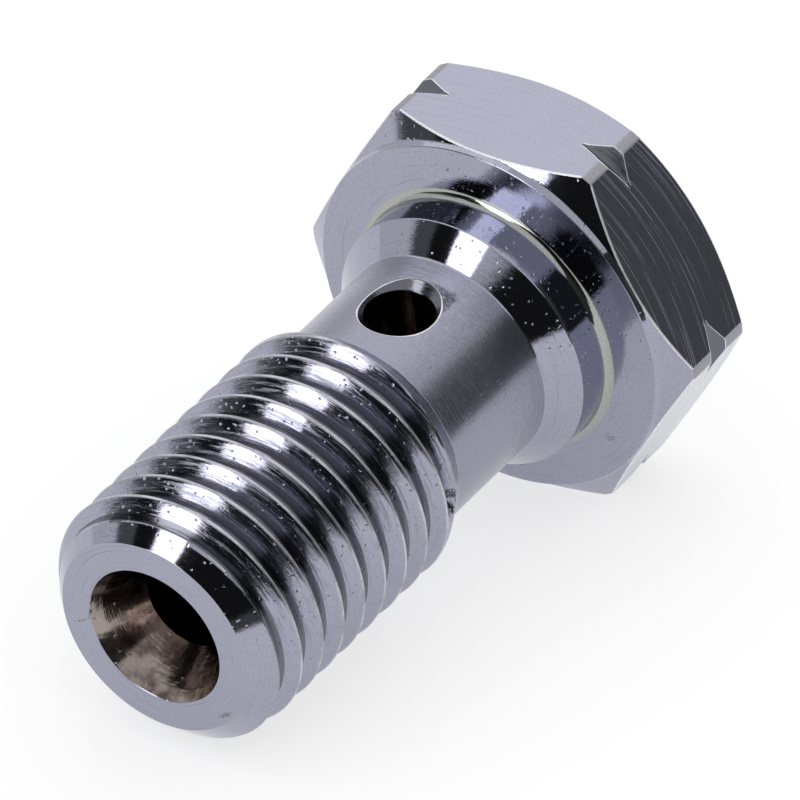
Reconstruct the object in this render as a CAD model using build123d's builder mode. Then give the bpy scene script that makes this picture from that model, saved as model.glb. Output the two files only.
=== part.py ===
from build123d import *
from math import atan2, cos, radians, sin, tan
import os

os.makedirs("parts", exist_ok=True)

# Banjo bolt, M10 x 1.25, lying as it comes to rest: on one flat of its
# hexagon and on the first turn of its thread. Units are millimetres, +Z is
# up, the head points to +X, and the cross hole looks up.
# Along the bolt, "s" is the distance from the flat tip toward the head.

# Threaded shank
crest_d = 9.76          # thread across its crests
face_d = 7.6            # flat ring at the tip, outside
lead_angle = 45.0       # slope of the lead chamfer
runout_angle = 45.0     # slope of the last turn, down to the neck

# Neck and the land the washers sit on
neck_d = 8.2
neck_length = 4.72      # from the last turn's foot to the cone
land_d = 10.06
land_length = 1.47      # from the cone to the underside of the head
cone_angle = 45.0
neck_blend = 0.25       # fillet where neck and cone meet
seat_blend = 0.38       # fillet where land and underside meet

# Hexagon head
grip_length = 20.0      # tip to the underside of the head
head_height = 5.0
across_flats = 14.0
corner_d = 15.92        # corners are turned down to this
rim_step = 0.1          # flats to the edge of the flat underside
rim_lift = 0.35         # underside to the middle of each flat's edge
corner_lift = 1.0       # underside to the turned corner
rim_bulge = 0.04        # crown of the turned rim, over its chord
groove_depth = 0.43     # V groove at half height of the corners
groove_width = 0.87
groove_bulge = 0.015    # crown of each side of the groove

# Passage: countersunk mouth, blind bore and one cross hole
mouth_d = 5.36
bore_d = 3.3
mouth_depth = 2.0
bore_past = 2.08        # full bore past the middle of the cross hole
drill_point = 118.0
cross_d = 2.5
cross_back = 2.68       # middle of the cross hole, back from the cone
sink_d = 3.2            # countersink of the cross hole, level with the neck's top
sink_angle = 90.0

# Derived places
crest_r = crest_d / 2
neck_r = neck_d / 2
land_r = land_d / 2
flat_r = across_flats / 2
corner_r = corner_d / 2
rim_r = flat_r - rim_step
lead_length = (crest_r - face_d / 2) / sin(radians(lead_angle)) * cos(radians(lead_angle))
runout_length = (crest_r - neck_r) / sin(radians(runout_angle)) * cos(radians(runout_angle))
cone_length = (land_r - neck_r) / sin(radians(cone_angle)) * cos(radians(cone_angle))
cone_start = grip_length - land_length - cone_length
thread_end = cone_start - neck_length - runout_length
cross_s = cone_start - cross_back
sink_r = sink_d / 2 + (crest_r - neck_r) * tan(radians(sink_angle / 2))  # at crest height
bore_depth = cross_s + bore_past
head_top = grip_length + head_height
groove_s = grip_length + head_height / 2
point_angle = radians(drill_point / 2)
point_length = bore_d / 2 * cos(point_angle) / sin(point_angle)

# Resting pose: the lower flat's edge and the first full crest touch the floor
tilt = atan2(flat_r - crest_r, grip_length + rim_lift - lead_length)
reach_back = face_d / 2 * sin(tilt)
reach_front = head_top * cos(tilt) + rim_r * sin(tilt)
tip_x = (reach_back - reach_front) / 2
tip_z = crest_r * cos(tilt) - lead_length * sin(tilt)

# Local frames: x of each is the way the cross hole looks, z the bolt's axis
bolt_frame = Plane(
    origin=(tip_x, 0, tip_z),
    x_dir=(-sin(tilt), 0, cos(tilt)),
    z_dir=(cos(tilt), 0, sin(tilt)),
)
head_frame = bolt_frame.offset(grip_length)
# Half section: x is the radius, y is s
section = Plane(origin=bolt_frame.origin, x_dir=bolt_frame.x_dir, z_dir=-bolt_frame.y_dir)
bolt_axis = Axis(origin=bolt_frame.origin, direction=bolt_frame.z_dir)
hole_frame = Plane(
    origin=bolt_frame.from_local_coords((0, 0, cross_s)),
    x_dir=bolt_frame.z_dir,
    z_dir=bolt_frame.x_dir,
)

with BuildPart() as banjo_bolt:
    # Shank, neck and land, turned in one
    with BuildSketch(section):
        with BuildLine():
            Polyline(
                (0, 0),
                (face_d / 2, 0),
                (crest_r, lead_length),
                (crest_r, thread_end),
                (neck_r, thread_end + runout_length),
                (neck_r, cone_start),
                (land_r, cone_start + cone_length),
                (land_r, grip_length),
                (0, grip_length),
                close=True,
            )
        make_face()
    revolve(axis=bolt_axis)
    neck_edge = banjo_bolt.edges().filter_by(GeomType.CIRCLE).sort_by(
        lambda e: abs(bolt_frame.to_local_coords(e.center()).Z - cone_start)
    )[0]
    fillet(neck_edge, radius=neck_blend)

    # Hexagon, with a flat square to the cross hole
    with BuildSketch(head_frame):
        RegularPolygon(radius=flat_r, side_count=6, major_radius=False, rotation=30)
    extrude(amount=head_height)

    # Turning of the head: both rims, the corners and the groove round them
    with BuildSketch(section):
        with BuildLine():
            Polyline(
                (flat_r, grip_length + rim_lift),
                (rim_r, grip_length),
                (corner_d, grip_length),
                (corner_d, head_top),
                (rim_r, head_top),
                (flat_r, head_top - rim_lift),
            )
            SagittaArc(
                (flat_r, head_top - rim_lift),
                (corner_r, head_top - corner_lift),
                rim_bulge,
            )
            Line(
                (corner_r, head_top - corner_lift),
                (corner_r, groove_s + groove_width / 2),
            )
            SagittaArc(
                (corner_r, groove_s + groove_width / 2),
                (corner_r - groove_depth, groove_s),
                groove_bulge,
            )
            SagittaArc(
                (corner_r - groove_depth, groove_s),
                (corner_r, groove_s - groove_width / 2),
                groove_bulge,
            )
            Line(
                (corner_r, groove_s - groove_width / 2),
                (corner_r, grip_length + corner_lift),
            )
            SagittaArc(
                (corner_r, grip_length + corner_lift),
                (flat_r, grip_length + rim_lift),
                rim_bulge,
            )
        make_face()
    revolve(axis=bolt_axis, mode=Mode.SUBTRACT)

    # Blend between the land and the seat under the head
    seat_edge = banjo_bolt.edges().filter_by(GeomType.CIRCLE).filter_by(
        lambda e: abs(e.radius - land_r) < 1e-4
    ).sort_by(lambda e: bolt_frame.to_local_coords(e.center()).Z)[-1]
    fillet(seat_edge, radius=seat_blend)

    # Countersunk mouth and blind bore with its drill point
    with BuildSketch(section):
        with BuildLine():
            Polyline(
                (0, 0),
                (mouth_d / 2, 0),
                (bore_d / 2, mouth_depth),
                (bore_d / 2, bore_depth),
                (0, bore_depth + point_length),
                close=True,
            )
        make_face()
    revolve(axis=bolt_axis, mode=Mode.SUBTRACT)

    # One cross hole, from the neck into the bore, countersunk in the neck
    with Locations(hole_frame.offset(crest_r)):
        CounterSinkHole(
            radius=cross_d / 2,
            counter_sink_radius=sink_r,
            depth=crest_r,
            counter_sink_angle=sink_angle,
        )

banjo_bolt.part.label = "banjo_bolt"
export_step(banjo_bolt.part, "parts/banjo_bolt.step")
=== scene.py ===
"""Dresses a plated banjo bolt: helical thread, milled head, cross hole and bore, lying on a pale floor."""

import logging
import math
from dataclasses import dataclass, field
from enum import Enum
from typing import Callable, Optional, Sequence, Union

import bpy
import numpy as np
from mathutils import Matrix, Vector


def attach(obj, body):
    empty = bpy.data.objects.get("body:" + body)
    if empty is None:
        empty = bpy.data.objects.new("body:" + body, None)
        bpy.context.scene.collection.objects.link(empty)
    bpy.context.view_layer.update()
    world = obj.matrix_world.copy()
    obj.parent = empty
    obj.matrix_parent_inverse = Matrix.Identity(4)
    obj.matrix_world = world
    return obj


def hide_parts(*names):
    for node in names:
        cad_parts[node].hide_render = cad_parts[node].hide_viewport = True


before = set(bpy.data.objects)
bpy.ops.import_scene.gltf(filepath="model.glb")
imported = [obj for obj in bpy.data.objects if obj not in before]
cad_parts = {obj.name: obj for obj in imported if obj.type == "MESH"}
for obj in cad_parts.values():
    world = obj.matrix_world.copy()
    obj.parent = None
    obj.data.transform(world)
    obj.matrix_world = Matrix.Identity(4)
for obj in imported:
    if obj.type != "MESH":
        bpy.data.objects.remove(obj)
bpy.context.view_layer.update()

NODE = "banjo_bolt"
MM = 0.001
WELD = 1.0e-4
TURN = 2.0 * math.pi
WHITE = (1.0, 1.0, 1.0, 1.0)

# Sizes that several stretches of the bolt share, in millimetres along its axis or from it
NECK_RADIUS = 4.1
FACE_RADIUS = 3.8
FLAT_RADIUS = 7.0
BORE_RADIUS = 1.65
LEAD_START = 0.0177
NECK_SPAN = (12.95, 16.85)
HOLE_SPAN = (13.1, 16.7)
SEAT_RIM = (6.93, 20.12)
BORE_COLUMNS = 120

Array = np.ndarray
Socket = bpy.types.NodeSocket
Value = Union[float, Socket]

log = logging.getLogger("banjo_bolt")


class Skin(Enum):
    """The finishes that the faces of the bolt carry, in the order of its material slots."""

    TURNED = 0
    THREAD = 1
    NECK = 2
    NICKEL = 3
    FLAT = 4
    STRIP = 5
    SEAT_RING = 6
    RIM = 7
    # Partly wear, partly painted highlight: a lighter plate on the thread's crests.
    CREST = 8
    # Painted highlight: a near-white finish on the head's lower crease, the groove's lips and the cross
    # hole's rim.
    EDGE = 9
    # Painted shade: a darker plate for the head's groove, the countersink and the thread's root.
    RECESS = 10


def soft_min(a: Array, b: Array, blend: float) -> Array:
    """Lesser of two heights with a rounded crease.

    Formula: min(a, b) - blend/4 * h^2, where h = max(blend - |a - b|, 0) / blend.

    Args:
        a: First height.
        b: Second height.
        blend: Difference of the heights over which the crease is rounded.

    Returns:
        The blended lesser height.
    """
    h = np.maximum(blend - np.abs(a - b), 0.0) / blend
    return np.minimum(a, b) - 0.25 * blend * h * h


def soft_max(a: Array, b: Array, blend: float) -> Array:
    """Greater of two heights with a rounded crease, as -soft_min(-a, -b).

    Args:
        a: First height.
        b: Second height.
        blend: Difference of the heights over which the crease is rounded.

    Returns:
        The blended greater height.
    """
    return -soft_min(-a, -b, blend)


@dataclass
class Patch:
    """Points of one stretch of skin in the bolt's own axes, with their normals and faces.

    Attributes:
        points: Rows of x, y, s in millimetres, s along the axis from the tip.
        normals: Outward unit normals of the points.
        faces: Rows of four point numbers; a triangle repeats its last number.
        skin: Finish number of every face.
        facet: Rows of place across a flat, place along the axis and number of the flat.
    """

    points: Array
    normals: Array
    faces: Array
    skin: Array
    facet: Array

    def middles(self) -> tuple[Array, Array]:
        """Radius and place along the axis of the middle of every face."""
        middle = self.points[self.faces].mean(axis=1)
        return np.hypot(middle[:, 0], middle[:, 1]), middle[:, 2]


def grid_faces(rows: int, columns: int, first: int = 0) -> Array:
    """Quads of a grid of points numbered row by row.

    Args:
        rows: Number of rows of points.
        columns: Number of points in a row.
        first: Number of the first point.

    Returns:
        Rows of four point numbers, ordered so that rows x columns points outwards.
    """
    corner = first + np.arange(rows * columns).reshape(rows, columns)
    quads = np.stack([corner[:-1, :-1], corner[:-1, 1:], corner[1:, 1:], corner[1:, :-1]], axis=-1)
    return quads.reshape(-1, 4)


def polar_patch(
    radius: Array, azimuth: Array, along: Array, n_r: Array, n_a: Array, n_s: Array, skin: Skin
) -> Patch:
    """Patch of points given by radius, azimuth and place along the axis.

    Formula: x = r cos a, y = r sin a, and the normal is n_r times the radial direction, n_a times the
    direction round the axis and n_s times the axis.

    Args:
        radius: Grid of radii.
        azimuth: Grid of azimuths in radians.
        along: Grid of places along the axis.
        n_r: Radial share of the normal.
        n_a: Share of the normal round the axis.
        n_s: Share of the normal along the axis.
        skin: Finish of the whole patch.

    Returns:
        The patch.
    """
    rows, columns = radius.shape
    cos_a, sin_a = np.cos(azimuth), np.sin(azimuth)
    points = np.stack([radius * cos_a, radius * sin_a, along], axis=-1).reshape(-1, 3)
    normals = np.stack([n_r * cos_a - n_a * sin_a, n_r * sin_a + n_a * cos_a, n_s + 0 * radius], axis=-1)
    normals = normals.reshape(-1, 3)
    normals = normals / np.linalg.norm(normals, axis=1, keepdims=True)
    faces = grid_faces(rows, columns)
    return Patch(points, normals, faces, np.full(len(faces), skin.value), np.zeros((len(points), 3)))


@dataclass
class Profile:
    """Rounded outline of a turned form: rows of radius and place along the axis, with their normals."""

    points: Array
    normals: Array

    def revolve(self, azimuth: Array, skin: Skin) -> Patch:
        """Turns the outline round the axis: r(i) cos a(j), r(i) sin a(j), s(i).

        Args:
            azimuth: Azimuths of the columns in radians, the last a full turn after the first.
            skin: Finish of the patch.

        Returns:
            The turned patch, facing the side that the outline's normals give.
        """
        a, r = np.meshgrid(azimuth, self.points[:, 0])
        s = np.repeat(self.points[:, 1:2], len(azimuth), axis=1)
        n_r = np.repeat(self.normals[:, 0:1], len(azimuth), axis=1)
        n_s = np.repeat(self.normals[:, 1:2], len(azimuth), axis=1)
        return polar_patch(r, a, s, n_r, np.zeros_like(r), n_s, skin)


def rounded_profile(
    corners: Sequence[tuple[float, float, float]], arc_rows: int = 4, cuts: int = 1
) -> Profile:
    """Outline through corners, each rounded by an arc.

    Formula: at a corner that turns by w the arc of radius q starts q tan(w/2) before it, and its normal
    swings evenly from the normal of the run before to the normal of the run after.

    Args:
        corners: Radius, place along the axis and rounding radius of each corner.
        arc_rows: Spans of each arc.
        cuts: Spans of each straight run.

    Returns:
        The outline with its normals, to the right of its course: outward where it runs to the head.
    """
    place = np.array([c[:2] for c in corners])
    course = np.diff(place, axis=0)
    length = np.linalg.norm(course, axis=1)
    course = course / length[:, None]
    heading = np.unwrap(np.arctan2(course[:, 0], course[:, 1]))
    points, normals = [place[0]], [[math.cos(heading[0]), -math.sin(heading[0])]]
    for k, (_, _, q) in enumerate(corners[1:-1]):
        turn = heading[k + 1] - heading[k]
        reach = q * math.tan(abs(turn) / 2.0)
        swing = heading[k] + turn * np.linspace(0.0, 1.0, arc_rows + 1)
        side = math.copysign(1.0, turn)
        start = place[k + 1] - reach * course[k]
        centre = start + side * q * np.array([math.cos(heading[k]), -math.sin(heading[k])])
        out = np.stack([np.cos(swing), -np.sin(swing)], axis=1)
        arc = centre - side * q * out
        run = np.linspace(points[-1], arc[0], cuts + 1)[1:-1]
        points.extend(run)
        normals.extend([out[0]] * len(run))
        points.extend(arc)
        normals.extend(out)
    run = np.linspace(points[-1], place[-1], cuts + 1)[1:]
    points.extend(run)
    normals.extend([[math.cos(heading[-1]), -math.sin(heading[-1])]] * len(run))
    return Profile(np.array(points), np.array(normals))


def sloped_patch(
    height: Callable[[Array, Array], Array], azimuth: Array, along: Array, skin: Skin
) -> Patch:
    """Patch of a surface whose radius is a function of azimuth and place along the axis.

    Formula: the normal is the radial direction, less the slope round the axis over r, less the slope
    along the axis, with both slopes by central differences.

    Args:
        height: Radius as a function of azimuth and place.
        azimuth: Grid of azimuths in radians.
        along: Grid of places along the axis.
        skin: Finish of the patch.

    Returns:
        The patch.
    """
    step = 1.0e-4
    r = height(azimuth, along)
    by_a = (height(azimuth + step, along) - height(azimuth - step, along)) / (2.0 * step)
    by_s = (height(azimuth, along + step) - height(azimuth, along - step)) / (2.0 * step)
    return polar_patch(r, azimuth, along, np.ones_like(r), -by_a / r, -by_s, skin)


def bridge_rings(outer: Array, inner: Array, radii: tuple[float, float]) -> Patch:
    """Flat band of the tip face between two rings with different numbers of points.

    Formula: the edges of both rings, sorted by the azimuth of their middles, each give one triangle to
    the point of the other ring that the walk has reached.

    Args:
        outer: Azimuths of the outer ring's points over one turn, the last a full turn after the first.
        inner: The same for the inner ring.
        radii: Radius of the outer and of the inner ring.

    Returns:
        The band, facing away from the head.
    """
    n_out, n_in = len(outer) - 1, len(inner) - 1
    mid_out, mid_in = (outer[:-1] + outer[1:]) / 2.0, (inner[:-1] + inner[1:]) / 2.0
    reach_in = n_out + np.searchsorted(mid_in, mid_out, side="right") % n_in
    reach_out = np.searchsorted(mid_out, mid_in, side="left") % n_out
    i, j = np.arange(n_out), np.arange(n_in)
    after = n_out + (j + 1) % n_in
    by_outer = np.stack([reach_in, (i + 1) % n_out, i, i], axis=1)
    by_inner = np.stack([reach_out, n_out + j, after, after], axis=1)
    faces = np.concatenate([by_outer, by_inner])
    angle = np.concatenate([outer[:-1], inner[:-1]])
    radius = np.repeat(radii, (n_out, n_in))
    points = np.stack([radius * np.cos(angle), radius * np.sin(angle), np.zeros_like(angle)], axis=1)
    normals = np.tile([0.0, 0.0, -1.0], (len(points), 1))
    return Patch(points, normals, faces, np.full(len(faces), Skin.TURNED.value), np.zeros_like(points))


@dataclass
class BoltAxes:
    """Where the lying bolt's own axes stand in the shared frame, from its driving sizes."""

    crest_radius: float = 4.88
    face_radius: float = FACE_RADIUS
    lead_length: float = 1.08
    flat_radius: float = FLAT_RADIUS
    rim_radius: float = 6.9
    grip_length: float = 20.0
    rim_lift: float = 0.35
    length: float = 25.0

    @property
    def tilt(self) -> float:
        """Angle of the axis above the floor: a flat and the thread's first full crest touch it."""
        reach = self.grip_length + self.rim_lift - self.lead_length
        return math.atan2(self.flat_radius - self.crest_radius, reach)

    @property
    def tip(self) -> Vector:
        """Middle of the tip face, with the bolt's box centred over the origin and resting on the floor."""
        sin_t, cos_t = math.sin(self.tilt), math.cos(self.tilt)
        x = (self.face_radius * sin_t - (self.length * cos_t + self.rim_radius * sin_t)) / 2.0
        return Vector((x, 0.0, self.crest_radius * cos_t - self.lead_length * sin_t))

    def place(self, vectors: Array, shift: bool) -> Array:
        """Carries points or directions from the bolt's axes to the shared frame.

        Args:
            vectors: Rows of x, y, s.
            shift: True for points, in which millimetres become metres, False for directions.

        Returns:
            Rows of x, y, z.
        """
        sin_t, cos_t = math.sin(self.tilt), math.cos(self.tilt)
        axes = np.array([[-sin_t, 0.0, cos_t], [0.0, -1.0, 0.0], [cos_t, 0.0, sin_t]])
        turned = vectors @ axes
        return (turned + np.array(self.tip)) * MM if shift else turned


@dataclass
class Columns:
    """Azimuths of the columns of points, closest together beside the six corners of the hexagon."""

    strip_edge: float = 28.43
    counts: tuple[int, int] = (8, 4)
    marks: tuple[float, float] = (21.6, 27.6)
    near_edge: tuple[float, float] = (0.43, 0.87)

    def half_sector(self) -> Array:
        """Columns of one twelfth of the bolt.

        Returns:
            Degrees from the middle of a flat to the corner.
        """
        first = np.linspace(0.0, self.marks[0], self.counts[0] + 1)
        second = np.linspace(self.marks[0], self.marks[1], self.counts[1] + 1)[1:]
        edge = self.strip_edge + np.array([-1, 0, 1]) * self.near_edge[0]
        last = np.array([self.strip_edge + self.near_edge[1], 30.0])
        return np.concatenate([first, second, edge, last])

    def full_turn(self) -> Array:
        """Columns of the whole bolt: the twelfth, mirrored and repeated six times.

        Returns:
            Azimuths in radians, from 0 to a full turn.
        """
        half = self.half_sector()
        sector = np.concatenate([half, 60.0 - half[-2:0:-1]])
        around = (sector[None, :] + 60.0 * np.arange(6)[:, None]).ravel()
        return np.radians(np.append(around, 360.0))


@dataclass
class ThreadedEnd:
    """45 degree lead, helical thread and its run-out, up to the start of the neck."""

    axes: BoltAxes
    columns: Columns
    pitch: float = 1.25
    crest_radius: float = 4.80
    crest_flat: float = 0.12
    depth: float = 0.72
    flank_deg: float = 37.0
    crest_blend: float = 0.07
    root_blend: float = 0.08
    edge_blend: float = 0.05
    start: float = 0.28
    lead_start: float = LEAD_START
    groove_end: float = 8.79
    groove_lift: float = 0.04
    runout_foot: float = 12.32
    runout_slope: float = 0.76
    runout_lean: float = 0.30
    runout_lean_deg: float = 50.0
    neck_radius: float = NECK_RADIUS
    end: float = NECK_SPAN[0]
    wear_and_highlight_rows: float = 2.0
    wear_and_highlight_depth: float = 0.07
    shade_depth: float = 0.47
    shade_end: float = 11.3
    lead_reach: float = 0.02
    smooth_reach: float = 0.03
    spare_turns: int = 2
    half_rows: tuple[float, ...] = (0.03, 0.06, 0.09, 0.125, 0.2, 0.3, 0.4, 0.46, 0.52, 0.57)

    def height(self, azimuth: Array, along: Array) -> Array:
        """Radius of the thread.

        Formula: away from the crest's flat the radius falls by the flank's slope, down to the root, and
        the groove fades out after its last turn; the lead cone, the run-out cone, which is steeper on one
        side, and the neck bound it, and every crease is rounded. The crest climbs one pitch a turn.

        Args:
            azimuth: Azimuths in radians.
            along: Places along the axis.

        Returns:
            Radii in millimetres.
        """
        phase = (along - self.start) / self.pitch - azimuth / TURN
        off = np.abs(phase - np.round(phase)) * self.pitch
        slope = 1.0 / math.tan(math.radians(self.flank_deg))
        flank = self.crest_radius - (off - self.crest_flat / 2.0) * slope
        r = soft_min(np.full_like(flank, self.crest_radius), flank, self.crest_blend)
        r = soft_max(r, np.full_like(r, self.crest_radius - self.depth), self.root_blend)
        turns = np.floor(phase) + 0.5 + azimuth / TURN
        left = np.clip((self.groove_end - turns) / self.groove_lift, 0.0, 1.0)
        r = self.crest_radius - (self.crest_radius - r) * left * left * (3.0 - 2.0 * left)
        r = soft_min(r, self.axes.face_radius + along, self.edge_blend)
        fall = self.runout_slope + self.runout_lean * np.cos(azimuth + math.radians(self.runout_lean_deg))
        runout = self.neck_radius + (self.runout_foot - along) * fall
        end = soft_max(runout, np.full_like(r, self.neck_radius), self.edge_blend)
        return soft_min(r, end, self.edge_blend)

    def thread(self) -> Patch:
        """Helical grid: the rows follow the crest and are cut off at both ends.

        Returns:
            The thread's patch.
        """
        azimuth = self.columns.full_turn()
        first = math.floor(-self.start / self.pitch) - self.spare_turns
        turns = np.arange(first, math.ceil(self.end / self.pitch) + self.spare_turns)
        side = np.array(self.half_rows) / self.pitch
        spans = np.concatenate([[-0.5], -side[::-1], [0.0], side])
        rows = (turns[:, None] + spans[None, :]).ravel()
        a, row = np.meshgrid(azimuth, rows)
        s = self.start + self.pitch * (row + a / TURN)
        s = np.clip(s, self.lead_start, self.end)
        patch = sloped_patch(self.height, a, s, Skin.THREAD)
        radius, along = patch.middles()
        row = np.arange(len(patch.faces)) // (len(azimuth) - 1) % len(spans)
        # Partly wear, partly painted highlight: faces next to the crest take the lighter crest finish.
        wear_and_highlight = np.abs(row + 0.5 - len(side) - 1.0) < self.wear_and_highlight_rows
        wear_and_highlight &= radius > self.crest_radius - self.wear_and_highlight_depth
        # Painted shade: the thread's root, up to shade_end, takes the darker recess finish.
        root = (radius < self.crest_radius - self.shade_depth) & (along < self.shade_end)
        lead = np.abs(radius - self.axes.face_radius - along) < self.lead_reach
        smooth = (along > self.runout_foot) & (radius < self.neck_radius + self.smooth_reach)
        skins = [Skin.NECK.value, Skin.TURNED.value, Skin.RECESS.value, Skin.CREST.value]
        patch.skin = np.select([smooth, lead, root, wear_and_highlight], skins, Skin.THREAD.value)
        return patch


@dataclass
class Neck:
    """Plain neck under the thread, with the countersunk cross hole through its upper wall into the bore."""

    columns: Columns
    radius: float = NECK_RADIUS
    span: tuple[float, float] = NECK_SPAN
    hole_centre: float = 14.92
    hole_radius: float = 1.25
    hole_turn_deg: float = 2.1
    sink_radius: float = 1.6
    sink_rows: tuple[float, float] = (0.15, 0.9)
    edge: float = 0.03
    edge_lean: float = 0.414
    rows: int = 26
    half_width_deg: float = 38.4
    rings: int = 9
    bright_share: float = 0.03
    ring_growth: float = 1.3
    wall_rows: int = 14
    bore_radius: float = BORE_RADIUS
    bore_columns: int = BORE_COLUMNS
    bore_span: tuple[float, float] = HOLE_SPAN

    def field(self) -> tuple[Array, Array, Array]:
        """Parts the neck's columns between its back and the hole's field.

        Returns:
            Azimuths of the columns round the back, those across the field, and the places of the rows.
        """
        azimuth = self.columns.full_turn()
        total = len(azimuth) - 1
        reach = int(np.argmin(np.abs(azimuth - math.radians(self.half_width_deg))))
        front = np.concatenate([azimuth[total - reach:total] - TURN, azimuth[:reach + 1]])
        return azimuth[reach:total - reach + 1], front, np.linspace(*self.span, self.rows + 1)

    @staticmethod
    def field_edge(azimuth: Array, along: Array) -> tuple[Array, Array]:
        """Closed edge of a rectangle of azimuth and place, walked once round.

        Args:
            azimuth: Azimuths of the columns inside the rectangle, ascending.
            along: Places of its rows, ascending.

        Returns:
            Azimuths and places of the edge's points, the first repeated at the end.
        """
        across, up = len(azimuth), len(along)
        a = np.concatenate([azimuth, np.full(up - 1, azimuth[-1]), azimuth[-2::-1],
                            np.full(up - 1, azimuth[0])])
        s = np.concatenate([np.full(across, along[0]), along[1:], np.full(across - 1, along[-1]),
                            along[-2::-1]])
        return a, s

    @staticmethod
    def cylinder(radius: float) -> Callable[[Array, Array], Array]:
        """Radius as a function of azimuth and place, the same everywhere."""
        return lambda azimuth, along: np.full_like(azimuth + along, radius)

    @staticmethod
    def between(inner: tuple[Array, Array], outer: tuple[Array, Array], share: Array) -> tuple[Array, ...]:
        """Azimuths and places of rings from an inner edge, at share 0, to an outer one, at share 1."""
        return tuple(start + (end - start) * share[:, None] for start, end in zip(inner, outer))

    def hole_angles(self) -> Array:
        """Angles round the cross hole's axis, one for each point of the outer field's edge."""
        _, front, along = self.field()
        a, s = self.field_edge(front, along)
        return np.unwrap(np.arctan2(s - self.hole_centre, self.radius * a))

    def sink_rim(self, angle: Array) -> Array:
        """Distance from the hole's axis at which the countersink meets the neck.

        Formula: the 90 degree cone has the radius c at the height R of the neck's top, so at the distance q
        its height is q - c + R, and the neck's is sqrt(R^2 - (q cos w)^2); q is the root of their equation.

        Args:
            angle: Angles w round the hole's axis.

        Returns:
            The distances q.
        """
        rest = self.radius - self.sink_radius
        lead = 1.0 + np.cos(angle)**2
        return (np.sqrt(rest**2 + lead * (self.radius**2 - rest**2)) - rest) / lead

    def hole_edge(self, distance: Union[float, Array], radius: float) -> tuple[Array, Array]:
        """Edge of the hole in a cylinder.

        Formula: at angle w and distance q, the azimuth is the hole's turn plus asin(q cos w / r), and the
        place is the hole's centre plus q sin w.

        Args:
            distance: Distances q of the edge from the hole's axis.
            radius: Radius r of the cylinder.

        Returns:
            Azimuths and places of the edge's points.
        """
        angle = self.hole_angles()
        azimuth = math.radians(self.hole_turn_deg) + np.arcsin(distance * np.cos(angle) / radius)
        return azimuth, self.hole_centre + distance * np.sin(angle)

    def outside(self) -> list[Patch]:
        """Neck's outer skin: rows round the back of the field, and rings from its edge to the hole.

        Returns:
            The back, and the rings.
        """
        back, front, along = self.field()
        a, s = np.meshgrid(back, along)
        behind = sloped_patch(self.cylinder(self.radius), a, s, Skin.NECK)
        angle = self.hole_angles()
        rim = self.hole_edge(self.sink_rim(angle), self.radius)
        grown = np.linspace(0.0, 1.0, self.rings + 1)[1:]**self.ring_growth
        share = np.concatenate([[0.0, self.bright_share], grown])
        a, s = self.between(rim, self.field_edge(front, along), share)
        ring = sloped_patch(self.cylinder(self.radius), a, s, Skin.NECK)
        ring.faces = ring.faces[:, ::-1]
        # Painted highlight: the narrow first ring beside the countersink's rim takes the near-white edge
        # finish.
        ring.skin[:len(angle) - 1] = Skin.EDGE.value
        return [behind, ring]

    def wall(self) -> list[Patch]:
        """Countersink and wall of the cross hole, from the neck's skin down to the bore.

        Formula: at angle w the wall stands q cos w across and q sin w along from the hole's axis, and runs
        down to the height sqrt(b^2 - (q cos w)^2) where the bore of radius b meets it. On the countersink
        the height is q less its radius at the neck's top, plus the neck's radius.

        Returns:
            The countersink with the wall under it.
        """
        w = self.hole_angles()
        rim = self.sink_rim(w)
        flat = np.full_like(w, self.hole_radius)
        q = np.stack([rim, *(rim - (rim - flat) * share for share in self.sink_rows), flat])
        cone = q - self.sink_radius + self.radius
        sink = len(cone) - 1
        foot = np.sqrt(self.bore_radius**2 - (self.hole_radius * np.cos(w))**2)
        share = np.linspace(0.0, 1.0, self.wall_rows + 1)[:, None]
        below = cone[-1] - self.edge
        height = np.concatenate([cone, below + (foot - below) * share])
        q = np.concatenate([q, np.repeat(flat[None, :], self.wall_rows + 1, axis=0)])
        up = np.zeros_like(height)
        up[:sink] = 1.0
        up[sink] = self.edge_lean
        across, along = q * np.cos(w), self.hole_centre + q * np.sin(w)
        turn = math.radians(self.hole_turn_deg)
        sin_t, cos_t = math.sin(turn), math.cos(turn)
        points = np.stack([height * cos_t - across * sin_t, height * sin_t + across * cos_t, along],
                          axis=-1)
        inward = np.stack([up * cos_t + np.cos(w) * sin_t, up * sin_t - np.cos(w) * cos_t,
                           -np.sin(w) + 0 * height], axis=-1)
        normals = inward / np.linalg.norm(inward, axis=-1, keepdims=True)
        faces = grid_faces(*height.shape)
        rows = np.arange(len(faces)) // (height.shape[1] - 1)
        # Painted shade: the countersink takes the darker recess finish.
        skin = np.where(rows < sink, Skin.RECESS.value, Skin.NICKEL.value)
        points = points.reshape(-1, 3)
        return [Patch(points, normals.reshape(-1, 3), faces, skin, np.zeros_like(points))]

    def bore_side(self) -> list[Patch]:
        """Bore's skin beside the cross hole: rows round the field, and rings from its edge to the hole.

        Returns:
            The back, and the rings.
        """
        total = self.bore_columns
        reach = total // 4
        rows = (len(self.hole_angles()) - 1 - 4 * reach) // 2
        azimuth = TURN * np.arange(total + 1) / total
        front = TURN * np.arange(-reach, reach + 1) / total
        along = np.linspace(*self.bore_span, rows + 1)
        a, s = np.meshgrid(azimuth[reach:total - reach + 1], along)
        back = sloped_patch(self.cylinder(self.bore_radius), a, s, Skin.NICKEL)
        rim = self.hole_edge(self.hole_radius, self.bore_radius)
        a, s = self.between(rim, self.field_edge(front, along), np.linspace(0.0, 1.0, self.rings))
        ring = sloped_patch(self.cylinder(self.bore_radius), a, s, Skin.NICKEL)
        for patch in (back, ring):
            patch.normals = -patch.normals
        back.faces = back.faces[:, ::-1]
        return [back, ring]

    def patches(self) -> list[Patch]:
        """All the skin of this stretch, inside and out."""
        return self.outside() + self.wall() + self.bore_side()


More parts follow.
